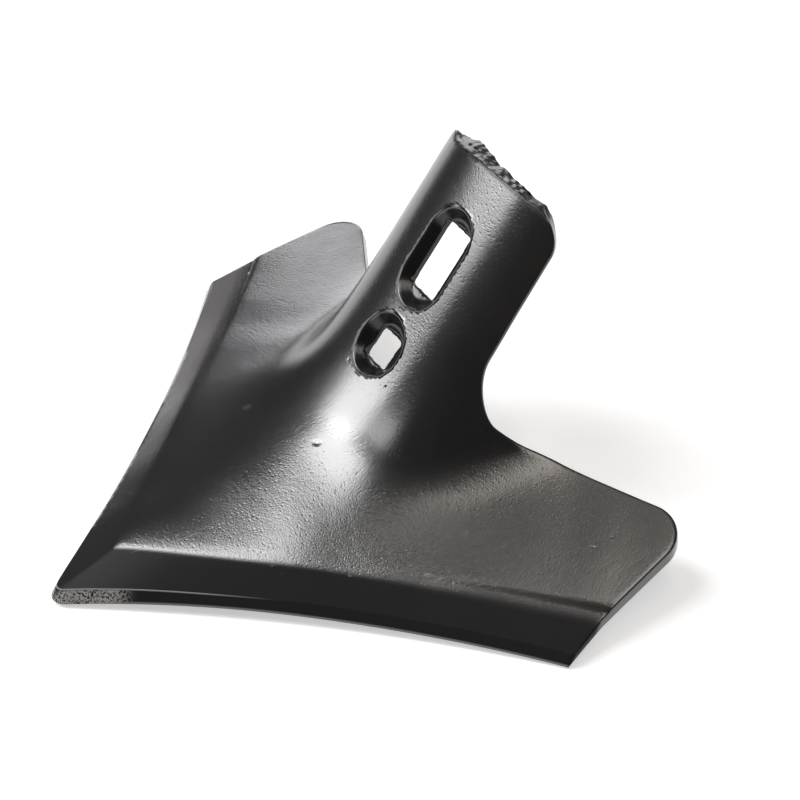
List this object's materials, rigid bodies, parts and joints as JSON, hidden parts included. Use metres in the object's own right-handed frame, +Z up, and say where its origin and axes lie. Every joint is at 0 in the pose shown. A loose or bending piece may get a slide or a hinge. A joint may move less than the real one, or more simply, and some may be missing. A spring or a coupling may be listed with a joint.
{
  "type": "duckfoot sweep",
  "caption": "Swept V-shaped soil blade pressed from one plate, with a raised stem that carries a countersunk bolt hole and a countersunk slot.",
  "frame": {"origin": "bottom centre of the bounding box, on the ground plane the cutting edges lie on", "axes": "+Z up, +X towards the right wing, -Y the way the point looks and the blade travels"},
  "size_m": [0.1826, 0.1354, 0.0751],
  "materials": {
    "black_paint": "semi-gloss"
  },
  "bodies": {
    "root": {"duckfoot_sweep": "black_paint"}
  },
  "joints": []
}
